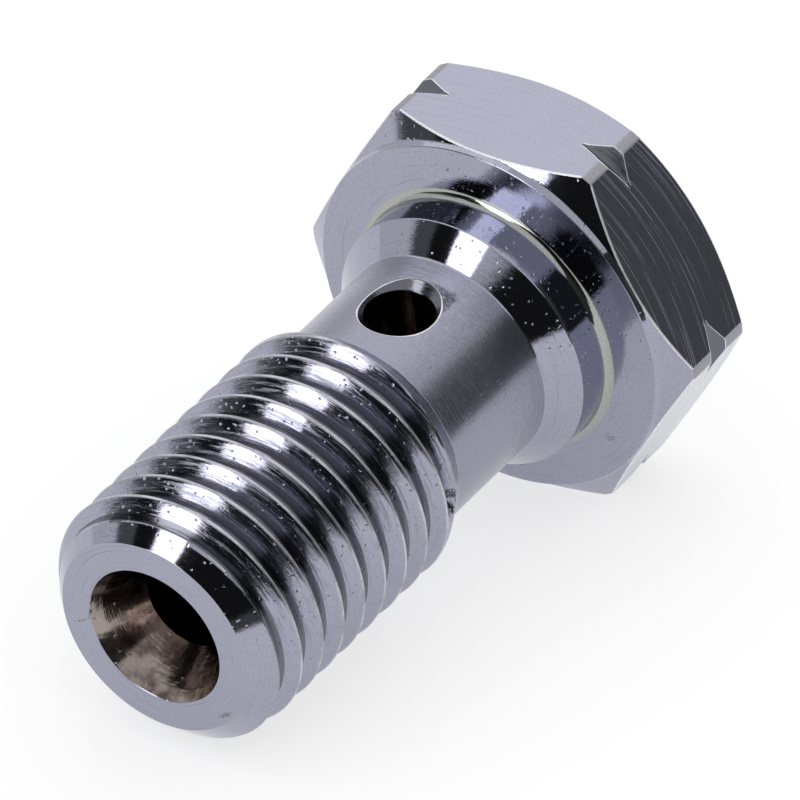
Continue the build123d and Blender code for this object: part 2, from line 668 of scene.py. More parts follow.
@dataclass
class TipAndBore:
    """Tip face, the seat cone in its mouth and the blind bore behind it, worked from the bottom out."""

    columns: Columns
    face_radius: float = FACE_RADIUS
    face_blend: float = 0.06
    lead_start: float = LEAD_START
    mouth_radius: float = 2.685
    mouth_blend: float = 0.05
    mouth_bright: float = 0.05
    seat_step: tuple[float, float] = (2.43, 0.44)
    step_blend: float = 0.03
    seat_depth: float = 2.0
    seat_blend: float = 0.1
    bore_radius: float = BORE_RADIUS
    hole_span: tuple[float, float] = HOLE_SPAN
    bore_depth: float = 17.0
    bore_blend: float = 0.05
    drill_point_deg: float = 118.0
    bore_columns: int = BORE_COLUMNS
    bridge: tuple[float, float] = (3.2, 3.15)

    def patches(self) -> list[Patch]:
        """Bottom, bore, seat cone and face, the bore's coarser rings joined to the finer outside.

        Returns:
            The bottom, the bore with its seat cone, the band between both kinds of ring, and the face.
        """
        fine = self.columns.full_turn()
        coarse = TURN * np.arange(self.bore_columns + 1) / self.bore_columns
        point = self.bore_radius / math.tan(math.radians(self.drill_point_deg / 2.0))
        bottom = rounded_profile([(0.0, self.bore_depth + point, 0.0),
                                  (self.bore_radius, self.bore_depth, self.bore_blend),
                                  (self.bore_radius, self.hole_span[1], 0.0)], cuts=3)
        bore = rounded_profile([(self.bore_radius, self.hole_span[0], 0.0),
                                (self.bore_radius, self.seat_depth, self.seat_blend),
                                (*self.seat_step, self.step_blend),
                                (self.mouth_radius, 0.0, self.mouth_blend),
                                (self.bridge[1], 0.0, 0.0)], cuts=8)
        face = rounded_profile([(self.bridge[0], 0.0, 0.0), (self.face_radius, 0.0, self.face_blend),
                                (self.face_radius + self.lead_start, self.lead_start, 0.0)], cuts=3)
        inside = bore.revolve(coarse, Skin.NICKEL)
        _, along = inside.middles()
        inside.skin = np.where(along < self.mouth_bright, Skin.TURNED.value, Skin.NICKEL.value)
        band = bridge_rings(fine, coarse, self.bridge)
        return [bottom.revolve(coarse, Skin.NICKEL), inside, band, face.revolve(fine, Skin.TURNED)]


@dataclass
class Collar:
    """Cone from the neck to the washer land, the fillet under the head, and the head's seat face."""

    columns: Columns
    rim_end: tuple[float, float]
    neck_radius: float = NECK_RADIUS
    start: float = NECK_SPAN[1]
    cone_foot: float = 17.57
    land_radius: float = 5.03
    land_start: float = 18.5
    seat: float = 19.97
    neck_blend: float = 0.1
    edge: float = 0.07
    rim_edge: float = 0.05
    seat_blend: float = 0.32
    ring_width: float = 0.2
    rim: tuple[float, float] = SEAT_RIM

    def patches(self) -> list[Patch]:
        """The turned skin from the neck to the rim of the head.

        Returns:
            One patch, with its own finish for the neck and for the ring at the seat.
        """
        outline = rounded_profile([(self.neck_radius, self.start, 0.0),
                                   (self.neck_radius, self.cone_foot, self.neck_blend),
                                   (self.land_radius, self.land_start, self.edge),
                                   (self.land_radius, self.seat, self.seat_blend),
                                   (*self.rim, self.rim_edge), (*self.rim_end, 0.0)], arc_rows=6, cuts=4)
        patch = outline.revolve(self.columns.full_turn(), Skin.TURNED)
        radius, along = patch.middles()
        ring = (along > self.seat - self.ring_width) & (radius < self.land_radius + self.seat_blend)
        neck = along < self.cone_foot - self.neck_blend
        patch.skin = np.select([ring, neck], [Skin.SEAT_RING.value, Skin.NECK.value], Skin.TURNED.value)
        return [patch]


@dataclass
class Head:
    """Hexagon turned at both rims, with rounded-off corners and a vee groove round their middle."""

    columns: Columns
    flat_radius: float = FLAT_RADIUS
    corner_radius: float = 7.96
    rim_start: tuple[float, float] = SEAT_RIM
    band_end: float = 20.35
    corner_start: float = 21.0
    start: float = 20.17
    band_rows: tuple[float, ...] = (20.17, 20.25, 20.31, 20.35, 20.4)
    top: float = 25.0
    top_rim: float = 6.483
    top_blend: float = 0.05
    middle: float = 22.5
    groove_foot: float = 7.53
    groove_half: float = 0.435
    groove_round: float = 0.02
    crease: float = 0.07
    blend: float = 0.05
    turned_blend: float = 0.03
    least_half: float = 0.05
    top_rings: tuple[float, ...] = (4.5, 2.0)

    @property
    def cone_slope(self) -> float:
        """Growth of the radius along the cones that turn down the corners."""
        return (self.corner_radius - self.flat_radius) / (self.corner_start - self.band_end)

    @property
    def groove_slope(self) -> float:
        """Growth of the radius along the sides of the groove."""
        return (self.corner_radius - self.groove_foot) / self.groove_half

    def hexagon(self, azimuth: Array) -> tuple[Array, Array, Array]:
        """Distance of the hexagon's sides from the axis.

        Formula: flat distance over the cosine of the azimuth from the middle of the nearest flat.

        Args:
            azimuth: Azimuths in radians.

        Returns:
            Distances, azimuths from the nearest flat's middle, and numbers of the flats.
        """
        number = np.round(azimuth / math.radians(60.0))
        local = azimuth - number * math.radians(60.0)
        return self.flat_radius / np.cos(local), local, number % 6

    def turned(self, along: Array) -> Array:
        """Radius of the head's turned outline.

        Formula: straight lines for the band at the seat, the cone at each rim, the corners and the sides of
        the groove, joined by soft_min and soft_max.

        Args:
            along: Places along the axis.

        Returns:
            Radii in millimetres.
        """
        band_slope = (self.flat_radius - self.rim_start[0]) / (self.band_end - self.rim_start[1])
        band = self.rim_start[0] + (along - self.rim_start[1]) * band_slope
        cone = self.flat_radius + (along - self.band_end) * self.cone_slope
        low = soft_max(band, cone, self.turned_blend)
        high = self.top_rim + (self.top - along) * self.cone_slope
        r = soft_min(soft_min(low, high, self.blend), np.full_like(low, self.corner_radius), self.blend)
        off = np.sqrt((along - self.middle)**2 + self.groove_round**2)
        return soft_min(r, self.groove_foot + off * self.groove_slope, self.turned_blend)

    def rim_foot(self) -> float:
        """Radius at which the side of the head starts, above the rounded edge of its seat face."""
        return float(self.turned(np.array([self.start]))[0])

    def height(self, azimuth: Array, along: Array) -> Array:
        """Radius of the head: the lesser of the hexagon and the turned outline, with worn creases."""
        return soft_min(self.hexagon(azimuth)[0], self.turned(along), self.blend)

    def rows(self, azimuth: Array) -> tuple[Array, int, int]:
        """Places of the rows for every column, packed round the creases that the column crosses.

        Args:
            azimuth: Azimuths of the columns.

        Returns:
            Places as rows x columns, the row of the lower crease, and the row of the groove's lower edge.
        """
        hexagon = np.minimum(self.hexagon(azimuth)[0], self.corner_radius)
        crease = self.band_end + (hexagon - self.flat_radius) / self.cone_slope
        half = np.maximum((hexagon - self.groove_foot) / self.groove_slope, self.least_half)
        e = self.crease
        under, over, lip = crease - e, crease + e, self.middle - half
        rows = [np.minimum(v, under) for v in self.band_rows]
        rows += [rows[-1] + (under - rows[-1]) * t for t in (0.33, 0.67)]
        rows += [under, crease - e / 2.0, crease]
        crease_row = len(rows) - 1
        rows += [crease + e / 2.0, over]
        rows += [over + (lip - e - over) * t for t in (0.25, 0.5, 0.75)]
        rows += [lip - e, lip - e / 2.0, lip]
        lip_row = len(rows) - 1
        rows += [lip + half * t for t in (0.12, 0.3, 0.6, 0.9)]
        lower = np.array(rows)
        centre = np.full((1, len(azimuth)), self.middle)
        return np.concatenate([lower, centre, 2.0 * self.middle - lower[::-1]]), crease_row, lip_row

    def patches(self) -> list[Patch]:
        """Side of the head with a finish for each kind of face, and the flat top.

        Returns:
            The side and the top.
        """
        azimuth = self.columns.full_turn()
        along, crease_row, lip_row = self.rows(azimuth)
        a = np.repeat(azimuth[None, :], len(along), axis=0)
        side = sloped_patch(self.height, a, along, Skin.FLAT)
        _, local, number = self.hexagon(a)
        side.facet = np.stack([self.flat_radius * np.tan(local), along, number], axis=-1).reshape(-1, 3)
        row, column = np.divmod(np.arange(len(side.faces)), len(azimuth) - 1)
        row = np.minimum(row, len(along) - 2 - row)
        between = (azimuth[column] + azimuth[column + 1]) / 2.0
        off = np.degrees(np.abs(self.hexagon(between)[1]))
        strip, notched = off > self.columns.strip_edge, off > self.columns.marks[0]
        # Painted highlight: the row on the lower crease and the row under the groove's lip take the
        # near-white edge finish.
        wear_and_highlight = (np.abs(row + 0.5 - crease_row) < 1.0) & ~strip
        wear_and_highlight |= (row == lip_row - 1) & notched
        # Painted shade: the faces inside the groove take the darker recess finish.
        skins = [Skin.EDGE.value, Skin.RECESS.value, Skin.RIM.value, Skin.STRIP.value]
        side.skin = np.select([wear_and_highlight, (row >= lip_row) & notched, row < crease_row, strip], skins,
                              Skin.FLAT.value)
        end = 2.0 * self.middle - self.start
        rim = float(self.turned(np.array([end]))[0])
        rings = [(r, self.top, 0.0) for r in (*self.top_rings, 0.0)]
        cap = rounded_profile([(rim, end, 0.0), (self.top_rim, self.top, self.top_blend), *rings])
        return [side, cap.revolve(azimuth, Skin.TURNED)]


def linked(name: str, mesh: bpy.types.Mesh) -> bpy.types.Object:
    """New object of a mesh, linked to the scene."""
    made = bpy.data.objects.new(name, mesh)
    bpy.context.scene.collection.objects.link(made)
    return made


@dataclass
class BoltMesh:
    """The whole bolt as one closed skin."""

    axes: BoltAxes = field(default_factory=BoltAxes)
    columns: Columns = field(default_factory=Columns)

    def weld(self, patches: list[Patch]) -> tuple[Array, Array, Array, Array, Array]:
        """Joins the patches where their points coincide.

        Formula: points that round to the same ten-thousandth of a millimetre become one, with the mean of
        their normals; a face that lost one corner becomes a triangle, and one that lost more goes.

        Args:
            patches: The patches.

        Returns:
            Points, normals, facet places, faces and the finish of each face.
        """
        first = np.cumsum([0] + [len(p.points) for p in patches])
        points = np.concatenate([p.points for p in patches])
        normals = np.concatenate([p.normals for p in patches])
        facet = np.concatenate([p.facet for p in patches])
        faces = np.concatenate([p.faces + n for p, n in zip(patches, first)])
        skin = np.concatenate([p.skin for p in patches])
        keys = np.round(points / WELD).astype(np.int64)
        _, keep, same = np.unique(keys, axis=0, return_index=True, return_inverse=True)
        same = same.ravel()
        summed = np.zeros((len(keep), 3))
        np.add.at(summed, same, normals)
        summed /= np.maximum(np.linalg.norm(summed, axis=1, keepdims=True), 1.0e-9)
        faces = same[faces]
        return points[keep], summed, facet[keep], faces, skin

    def build(self) -> bpy.types.Object:
        """Makes the Blender object from the welded skin.

        Returns:
            The object, at the origin, with the place in its mesh.
        """
        threaded = ThreadedEnd(self.axes, self.columns)
        head = Head(self.columns)
        collar = Collar(self.columns, (head.rim_foot(), head.start))
        patches = [threaded.thread(), *Neck(self.columns).patches(), *TipAndBore(self.columns).patches(),
                   *collar.patches(), *head.patches()]
        points, normals, facet, faces, skin = self.weld(patches)
        lost = faces == np.roll(faces, -1, axis=1)
        quads, thirds = lost.sum(axis=1) == 0, lost.sum(axis=1) == 1
        triangles = faces[thirds][~lost[thirds]].reshape(-1, 3)
        mesh = bpy.data.meshes.new("plated_bolt")
        mesh.from_pydata(self.axes.place(points, True), [], faces[quads].tolist() + triangles.tolist())
        mesh.polygons.foreach_set("material_index", np.concatenate([skin[quads], skin[thirds]]))
        mesh.polygons.foreach_set("use_smooth", np.ones(len(mesh.polygons), dtype=bool))
        for name, values in (("lathe_place", points), ("facet_place", facet)):
            layer = mesh.attributes.new(name, "FLOAT_VECTOR", "POINT")
            layer.data.foreach_set("vector", values.astype(np.float32).ravel())
        mesh.update()
        mesh.normals_split_custom_set_from_vertices(self.axes.place(normals, False))
        mesh.validate()
        return linked("plated_bolt", mesh)


class Wiring:
    """Nodes of one tree, placed and joined by short calls."""

    def __init__(self, tree: bpy.types.NodeTree) -> None:
        """Takes the tree whose nodes it makes."""
        self.tree = tree

    def feed(self, socket: Socket, value: object) -> None:
        """Links a socket to another one, or sets its plain value."""
        if isinstance(value, Socket):
            self.tree.links.new(value, socket)
        else:
            socket.default_value = value

    def node(self, kind: str, inputs: Optional[dict] = None, **settings: object) -> bpy.types.Node:
        """Makes a node, sets its options and feeds its inputs.

        Args:
            kind: Blender's name of the node type.
            inputs: Values or sockets by input name or number.
            settings: Options of the node.

        Returns:
            The node.
        """
        made = self.tree.nodes.new(kind)
        for name, value in settings.items():
            setattr(made, name, value)
        for name, value in (inputs or {}).items():
            self.feed(made.inputs[name], value)
        return made

    def group(self, group: "Group", values: dict) -> bpy.types.Node:
        """Places a shared group with its own values."""
        return self.node("ShaderNodeGroup", values, node_tree=group.tree)

    def maths(self, operation: str, *values: Value) -> Socket:
        """One arithmetic step on values or sockets."""
        return self.node("ShaderNodeMath", dict(enumerate(values)), operation=operation).outputs[0]

    def plus(self, first: Value, second: Value) -> Socket:
        """Sum of two values or sockets."""
        return self.maths("ADD", first, second)

    def times(self, first: Value, second: Value) -> Socket:
        """Product of two values or sockets."""
        return self.maths("MULTIPLY", first, second)

    def lift(self, base: Value, mask: Value, depth: Value) -> Socket:
        """A base raised by a mask times a depth."""
        return self.plus(base, self.times(mask, depth))

    def sink(self, base: Value, mask: Value, depth: Value) -> Socket:
        """A base lowered by a mask times a depth."""
        return self.maths("SUBTRACT", base, self.times(mask, depth))

    def vector(self, operation: str, *values: object, out: str = "Vector") -> Socket:
        """One vector step on vectors or sockets."""
        made = self.node("ShaderNodeVectorMath", dict(enumerate(values)), operation=operation)
        return made.outputs[out]

    def split(self, vector: Socket) -> tuple[Socket, ...]:
        """The three parts of a vector."""
        return tuple(self.node("ShaderNodeSeparateXYZ", {0: vector}).outputs)

    def combine(self, x: Value, y: Value, z: Value) -> Socket:
        """Vector of three values or sockets."""
        return self.node("ShaderNodeCombineXYZ", {0: x, 1: y, 2: z}).outputs[0]

    def ramp(self, value: Value, low: float, high: Value, start: float = 0.0, end: float = 1.0) -> Socket:
        """Smooth step of a value from start, at low, to end, at high."""
        inputs = {"Value": value, "From Min": low, "From Max": high, "To Min": start, "To Max": end}
        return self.node("ShaderNodeMapRange", inputs, interpolation_type="SMOOTHSTEP").outputs["Result"]

    def tint(self, colour: object, tone: object, mask: Value, share: float) -> Socket:
        """Colour mixed with a tone by a mask times a share.

        Args:
            colour: Colour or socket where the mask is 0.
            tone: Colour or socket that the mask brings in.
            mask: Where the tone lies, 0 to 1.
            share: Strength of the tone where the mask is 1.

        Returns:
            The mixed colour.
        """
        made = self.node("ShaderNodeMix", {"Factor": self.times(mask, share)}, data_type="RGBA")
        self.feed(made.inputs[6], colour)
        self.feed(made.inputs[7], tone)
        return made.outputs[2]

    def attribute(self, name: str) -> Socket:
        """A vector that the mesh carries."""
        return self.node("ShaderNodeAttribute", attribute_name=name).outputs["Vector"]

    def noise(
        self, place: Socket, scale: float, detail: float = 2.0, rough: float = 0.5,
        fourth: Optional[Socket] = None,
    ) -> Socket:
        """Noise at a place, about 0.5 in the mean, with a fourth dimension where one is given.

        Args:
            place: Place in space.
            scale: Waves per unit of the place.
            detail: Octaves above the first.
            rough: Strength of each octave against the one before.
            fourth: Place along the fourth dimension.

        Returns:
            The noise.
        """
        inputs = {"Vector": place, "Scale": scale, "Detail": detail, "Roughness": rough}
        if fourth is not None:
            inputs["W"] = fourth
        dimensions = "3D" if fourth is None else "4D"
        return self.node("ShaderNodeTexNoise", inputs, noise_dimensions=dimensions).outputs[0]


class Group(Wiring):
    """A shader group that several finishes share, with its inputs and outputs by name."""

    def __init__(
        self, name: str, vectors: Sequence[str], numbers: dict[str, float], outputs: Sequence[str]
    ) -> None:
        """Starts the group with its sockets.

        Args:
            name: Name of the group.
            vectors: Names of the inputs that take vectors.
            numbers: Defaults of the inputs that take numbers, by name.
            outputs: Names of the outputs, all of them numbers.
        """
        super().__init__(bpy.data.node_groups.new(name, "ShaderNodeTree"))
        sockets = self.tree.interface
        for label in vectors:
            sockets.new_socket(label, in_out="INPUT", socket_type="NodeSocketVector")
        for label, start in numbers.items():
            made = sockets.new_socket(label, in_out="INPUT", socket_type="NodeSocketFloat")
            made.default_value = start
        for label in outputs:
            sockets.new_socket(label, in_out="OUTPUT", socket_type="NodeSocketFloat")
        self.given = self.node("NodeGroupInput").outputs
        self.result = self.node("NodeGroupOutput").inputs


class Effects:
    """Shader groups that several finishes share, each built once."""

    def __init__(self) -> None:
        """Builds the groups."""
        self.tool_marks = self.build_tool_marks()
        self.pits = self.build_pits()
        self.mill_arcs = self.build_mill_arcs()
        self.helix_streaks = self.build_helix_streaks()
        self.dent = self.build_dent()

    @staticmethod
    def build_tool_marks() -> Group:
        """Fine rings that a lathe leaves: noise drawn out round the axis.

        Formula: the noise is taken at (x, y) times the wander, and across the rings at the radius plus the
        place along the axis, times the rings per millimetre.

        Returns:
            The group.
        """
        g = Group("lathe_rings", ["Place"], {"Rings per mm": 30.0, "Wander": 0.6}, ["Height", "Lines"])
        x, y, along = g.split(g.given["Place"])
        radius = g.maths("SQRT", g.plus(g.maths("POWER", x, 2.0), g.maths("POWER", y, 2.0)))
        course = g.times(g.plus(radius, along), g.given["Rings per mm"])
        drawn = g.combine(g.times(x, g.given["Wander"]), g.times(y, g.given["Wander"]), course)
        lines = g.noise(drawn, 0.5, detail=2.0, rough=0.6)
        g.feed(g.result["Height"], g.noise(drawn, 1.0, detail=3.0, rough=0.6))
        g.feed(g.result["Lines"], g.ramp(lines, low=0.60, high=0.72))
        return g

    @staticmethod
    def build_pits() -> Group:
        """Scattered small pits and nicks: round spots about some of the points of a cell pattern.

        Returns:
            The group.
        """
        g = Group("pits", ["Place"], {"Pits per mm": 3.0, "Share": 0.3, "Size": 0.2}, ["Mask"])
        place = g.given["Place"]
        swirl = g.node("ShaderNodeTexNoise", {"Vector": place, "Scale": 9.0, "Detail": 2.0})
        sway = g.node("ShaderNodeVectorMath", {0: swirl.outputs["Color"], "Scale": 0.12}, operation="SCALE")
        bent = g.vector("ADD", place, sway.outputs["Vector"])
        cells = g.node("ShaderNodeTexVoronoi", {"Vector": bent, "Scale": g.given["Pits per mm"]}).outputs
        pick = g.node("ShaderNodeSeparateColor", {0: cells["Color"]}).outputs[0]
        spot = g.ramp(cells["Distance"], low=0.0, high=g.given["Size"], start=1.0, end=0.0)
        g.feed(g.result["Mask"], g.times(spot, g.maths("LESS_THAN", pick, g.given["Share"])))
        return g

    @staticmethod
    def build_mill_arcs() -> Group:
        """Arcs that a milling cutter leaves on a flat: noise drawn out along parabolas.

        Formula: across the arcs the noise is taken at the place along the axis plus the bend times the
        square of the place across the flat, times the lines per millimetre. Each flat has its own layer.

        Returns:
            The group.
        """
        g = Group("mill_arcs", ["Place"], {"Bend": 0.045, "Lines per mm": 14.0, "Stretch": 0.16,
                                           "Fine stretch": 0.13, "Fine lines": 0.95, "Layer": 17.0},
                  ["Height", "Scratch"])
        across, along, flat = g.split(g.given["Place"])
        bend = g.times(g.maths("POWER", across, 2.0), g.given["Bend"])
        course = g.times(g.plus(along, bend), g.given["Lines per mm"])
        layer = g.times(flat, g.given["Layer"])
        drawn = g.combine(g.times(across, g.given["Stretch"]), course, layer)
        fine = g.combine(g.times(across, g.given["Fine stretch"]), g.times(course, g.given["Fine lines"]),
                         layer)
        g.feed(g.result["Height"], g.noise(drawn, 1.0, detail=2.0, rough=0.6))
        g.feed(g.result["Scratch"], g.ramp(g.noise(fine, 1.0), low=0.54, high=0.70))
        return g

    @staticmethod
    def build_helix_streaks() -> Group:
        """Streaks along the thread: noise on the circle that a point's place within the pitch goes round.

        Formula: the angle on that circle is a full turn for each pitch along the axis, less the azimuth.

        Returns:
            The group.
        """
        g = Group("helix_streaks", ["Place"], {"Pitch": 1.25, "Start": 0.28, "Streaks": 4.0, "Wander": 0.8},
                  ["Height", "Worn"])
        x, y, along = g.split(g.given["Place"])
        turns = g.maths("DIVIDE", g.maths("SUBTRACT", along, g.given["Start"]), g.given["Pitch"])
        angle = g.maths("SUBTRACT", g.times(turns, TURN), g.maths("ARCTAN2", y, x))
        drawn = g.combine(g.times(g.maths("COSINE", angle), g.given["Streaks"]),
                          g.times(g.maths("SINE", angle), g.given["Streaks"]),
                          g.lift(turns, x, g.given["Wander"]))
        fourth = g.times(y, g.given["Wander"])
        wear_and_highlight = g.noise(drawn, 0.8, detail=4.0, rough=0.65, fourth=fourth)
        g.feed(g.result["Height"], g.noise(drawn, 1.0, detail=3.0, rough=0.65, fourth=fourth))
        g.feed(g.result["Worn"], g.ramp(wear_and_highlight, low=0.47, high=0.66))
        return g

    @staticmethod
    def build_dent() -> Group:
        """One ragged dent: how far a point is from its middle, turned and squeezed, against its reach of 1.

        Returns:
            The group.
        """
        g = Group("dent", ["Place", "Middle", "Squeeze"], {"Turn": 0.0, "Raggedness": 0.9}, ["Mask"])
        place = g.given["Place"]
        off = g.vector("SUBTRACT", place, g.given["Middle"])
        turned = g.node("ShaderNodeVectorRotate", {"Vector": off, "Angle": g.given["Turn"]},
                        rotation_type="Z_AXIS").outputs[0]
        reach = g.vector("LENGTH", g.vector("MULTIPLY", turned, g.given["Squeeze"]), out="Value")
        ragged = g.lift(reach, g.noise(place, 9.0, detail=3.0), g.given["Raggedness"])
        whole = g.ramp(ragged, low=0.7, high=1.5, start=1.0, end=0.0)
        crumbs = g.ramp(g.noise(place, 17.0, detail=2.0, rough=0.6), low=0.4, high=0.6)
        g.feed(g.result["Mask"], g.times(whole, crumbs))
        return g


def cleared(owner: Union[bpy.types.Material, bpy.types.World]) -> Wiring:
    """Wiring of an owner's node tree, emptied of the nodes that it starts with."""
    owner.use_nodes = True
    owner.node_tree.nodes.clear()
    return Wiring(owner.node_tree)


@dataclass(frozen=True)
class Dent:
    """A scratch, nick or burr that the photograph shows, in the bolt's own axes and millimetres."""

    middle: tuple[float, float, float]
    size: tuple[float, float, float]
    turn_deg: float = 0.0
    depth: float = 0.05
    dark: float = 0.15

    def mask(self, effects: Effects, wiring: Wiring, place: Socket) -> Socket:
        """Where the dent lies.

        Args:
            effects: The shared groups.
            wiring: Wiring of the material.
            place: Place in the bolt's own axes.

        Returns:
            The mask, 1 at the dent's middle.
        """
        squeeze = tuple(1.0 / s for s in self.size)
        turn = math.radians(self.turn_deg)
        values = {"Place": place, "Middle": self.middle, "Turn": turn, "Squeeze": squeeze}
        return wiring.group(effects.dent, values).outputs["Mask"]


MOTTLE_TONE = (0.16, 0.16, 0.19, 1.0)
LINE_TONE = (0.1, 0.1, 0.12, 1.0)
DENT_TONE = (0.05, 0.045, 0.05, 1.0)


@dataclass(frozen=True)
class Finish:
    """A plated metal finish: its colours, gloss, tool marks and pits."""

    name: str
    colour: tuple[float, float, float]
    stain: tuple[float, float, float] = (0.30, 0.28, 0.33)
    stain_share: float = 0.1
    film_scale: float = 0.9
    film_span: tuple[float, float] = (0.42, 0.72)
    roughness: float = 0.05
    rough_spread: float = 0.03
    rings_per_mm: float = 26.0
    ring_depth: float = 0.0015
    pit_depth: float = 0.01
    pit_share: float = 0.12
    pit_size: float = 0.3
    pits_per_mm: float = 2.6
    wave_scale: float = 1.7
    waviness: float = 0.004
    milled: bool = False
    arc_depth: float = 0.0025
    scratch_depth: float = 0.0022
    scratch_rough: float = 0.2
    streak_depth: float = 0.0
    streak_rough: float = 0.0
    line_share: float = 0.0
    grain_scale: float = 14.0
    grain_span: tuple[float, float] = (0.38, 0.62)
    mottle: float = 0.22
    dents: tuple[Dent, ...] = ()

    def build(self, effects: Effects) -> bpy.types.Material:
        """Makes the material.

        Args:
            effects: The shared groups.

        Returns:
            The material, with colour, roughness and bump from its nodes.
        """
        material = bpy.data.materials.new(self.name)
        w = cleared(material)
        place = w.attribute("lathe_place")
        pits = w.group(effects.pits, {"Place": place, "Pits per mm": self.pits_per_mm,
                                      "Share": self.pit_share, "Size": self.pit_size}).outputs["Mask"]
        film = w.ramp(w.noise(place, self.film_scale, detail=4.0, rough=0.6), *self.film_span)
        colour = w.tint((*self.colour, 1.0), (*self.stain, 1.0), film, self.stain_share)
        grain = w.noise(place, self.grain_scale, detail=3.0, rough=0.7)
        colour = w.tint(colour, MOTTLE_TONE, w.ramp(grain, *self.grain_span), self.mottle)
        rough = w.lift(self.roughness, grain, self.rough_spread)
        height = w.times(w.noise(place, self.wave_scale), self.waviness)
        if self.milled:
            arcs = w.group(effects.mill_arcs, {"Place": w.attribute("facet_place")}).outputs
            height = w.lift(height, arcs["Height"], self.arc_depth)
            height = w.sink(height, arcs["Scratch"], self.scratch_depth)
            rough = w.lift(rough, arcs["Scratch"], self.scratch_rough)
        elif self.streak_depth > 0.0:
            streaks = w.group(effects.helix_streaks, {"Place": place}).outputs
            height = w.lift(height, streaks["Height"], self.streak_depth)
            rough = w.lift(rough, streaks["Worn"], self.streak_rough)
        else:
            values = {"Place": place, "Rings per mm": self.rings_per_mm}
            rings = w.group(effects.tool_marks, values).outputs
            height = w.lift(height, rings["Height"], self.ring_depth)
            if self.line_share > 0.0:
                colour = w.tint(colour, LINE_TONE, rings["Lines"], self.line_share)
        height = w.sink(height, pits, self.pit_depth)
        for dent in self.dents:
            mask = dent.mask(effects, w, place)
            height = w.sink(height, mask, dent.depth)
            colour = w.tint(colour, DENT_TONE, mask, dent.dark)
        bump = w.node("ShaderNodeBump", {"Strength": 1.0, "Distance": MM, "Height": height})
        shader = w.node("ShaderNodeBsdfPrincipled", {"Base Color": colour, "Metallic": 1.0,
                                                     "Roughness": rough, "Normal": bump.outputs[0]})
        w.node("ShaderNodeOutputMaterial", {"Surface": shader.outputs[0]})
        return material


PLATE = (0.365, 0.373, 0.46)

TIP_DENTS = (
    Dent((-0.49, -3.0, 0.0), (0.045, 0.5, 0.3), turn_deg=30.0, depth=0.03, dark=0.9),
    Dent((-0.05, -2.68, 0.0), (0.42, 0.05, 0.3), turn_deg=-15.0, depth=0.03, dark=0.9),
    Dent((-2.28, 2.76, 0.0), (0.11, 0.45, 0.3), turn_deg=38.0, depth=0.04, dark=0.9),
)
SEAT_DENTS = (
    Dent((-3.32, 4.89, 20.05), (0.2, 0.3, 0.4)),
    Dent((-6.05, 0.99, 20.05), (0.15, 0.35, 0.4)),
)
NECK_DENTS = (
    Dent((3.9, 1.3, 16.0), (0.8, 0.2, 0.75), depth=0.06, dark=0.0),
    Dent((4.0, 0.8, 16.42), (0.8, 0.8, 0.2), depth=0.06, dark=0.0),
)
THREAD_DENTS = (
    Dent((3.64, 2.81, 0.4), (0.5, 0.4, 0.35), depth=0.08),
    Dent((0.0, 4.4, 11.42), (0.2, 0.5, 0.3), depth=0.1, dark=0.5),
    Dent((3.95, 1.0, 12.3), (0.6, 0.8, 0.5), depth=0.07, dark=0.0),
)

FINISHES = {
    Skin.TURNED: Finish("turned_plating", PLATE, line_share=0.25, pit_share=0.3, pits_per_mm=4.5,
                        dents=TIP_DENTS + SEAT_DENTS),
    Skin.THREAD: Finish("thread_plating", PLATE, roughness=0.07, pit_share=0.35, pit_depth=0.018,
                        waviness=0.006, pits_per_mm=5.0, streak_depth=0.013, streak_rough=0.3,
                        dents=THREAD_DENTS),
    Skin.NECK: Finish("satin_neck", (0.29, 0.297, 0.37), roughness=0.21, ring_depth=0.009, pit_share=0.3,
                      pit_depth=0.006, pits_per_mm=6.0, dents=NECK_DENTS),
    # The bore's brown tone is real; the near-black stain at share 0.95 is partly painted shade, darkening
    # the bore and seat cone for the dark reflections they show.
    Skin.NICKEL: Finish("nickel_bore", (0.35, 0.295, 0.265), stain=(0.05, 0.026, 0.018), stain_share=0.95,
                        roughness=0.1, rough_spread=0.1, ring_depth=0.004, waviness=0.02, pit_share=0.3),
    Skin.FLAT: Finish("milled_flat", PLATE, milled=True, roughness=0.12, pit_depth=0.006),
    Skin.STRIP: Finish("corner_strip", (0.36, 0.35, 0.385), roughness=0.42),
    Skin.SEAT_RING: Finish("seat_ring", (0.40, 0.41, 0.39), roughness=0.07, pit_share=0.0),
    Skin.RIM: Finish("rim_plating", PLATE, pit_share=0.3, pits_per_mm=4.5),
    # Partly wear, partly painted highlight: a lighter plate for the bright lines along the thread's crests.
    Skin.CREST: Finish("crest_wear_and_highlight", (0.58, 0.58, 0.63), stain=(0.2, 0.2, 0.23), stain_share=0.7,
                       roughness=0.22, rough_spread=0.25, pit_share=0.45, pit_depth=0.02, pits_per_mm=4.5,
                       streak_depth=0.006, streak_rough=0.2),
    # Painted highlight: a near-white plate for the thin bright lines on the head's creases, the groove's
    # lips and the cross hole's rim.
    Skin.EDGE: Finish("edge_painted_highlight", (0.9, 0.9, 0.93), roughness=0.5, pit_share=0.0),
    # Painted shade: a darker plate for the head's groove, the countersink and the thread's root.
    Skin.RECESS: Finish("recess_painted_shade", (0.15, 0.152, 0.18), roughness=0.12, pit_share=0.3, pits_per_mm=4.0,
                        streak_depth=0.006, streak_rough=0.2),
}


def compass(azimuth: Union[float, Array], elevation: Union[float, Array]) -> Array:
    """Directions from the bolt.

    Formula: (sin a cos e, -cos a cos e, sin e).

    Args:
        azimuth: Azimuths a in degrees, from -Y towards +X.
        elevation: Elevations e above the floor in degrees.

    Returns:
        Unit vectors.
    """
    a, e = np.radians(azimuth), np.radians(elevation)
    return np.stack([np.sin(a) * np.cos(e), -np.cos(a) * np.cos(e), np.sin(e)], axis=-1)


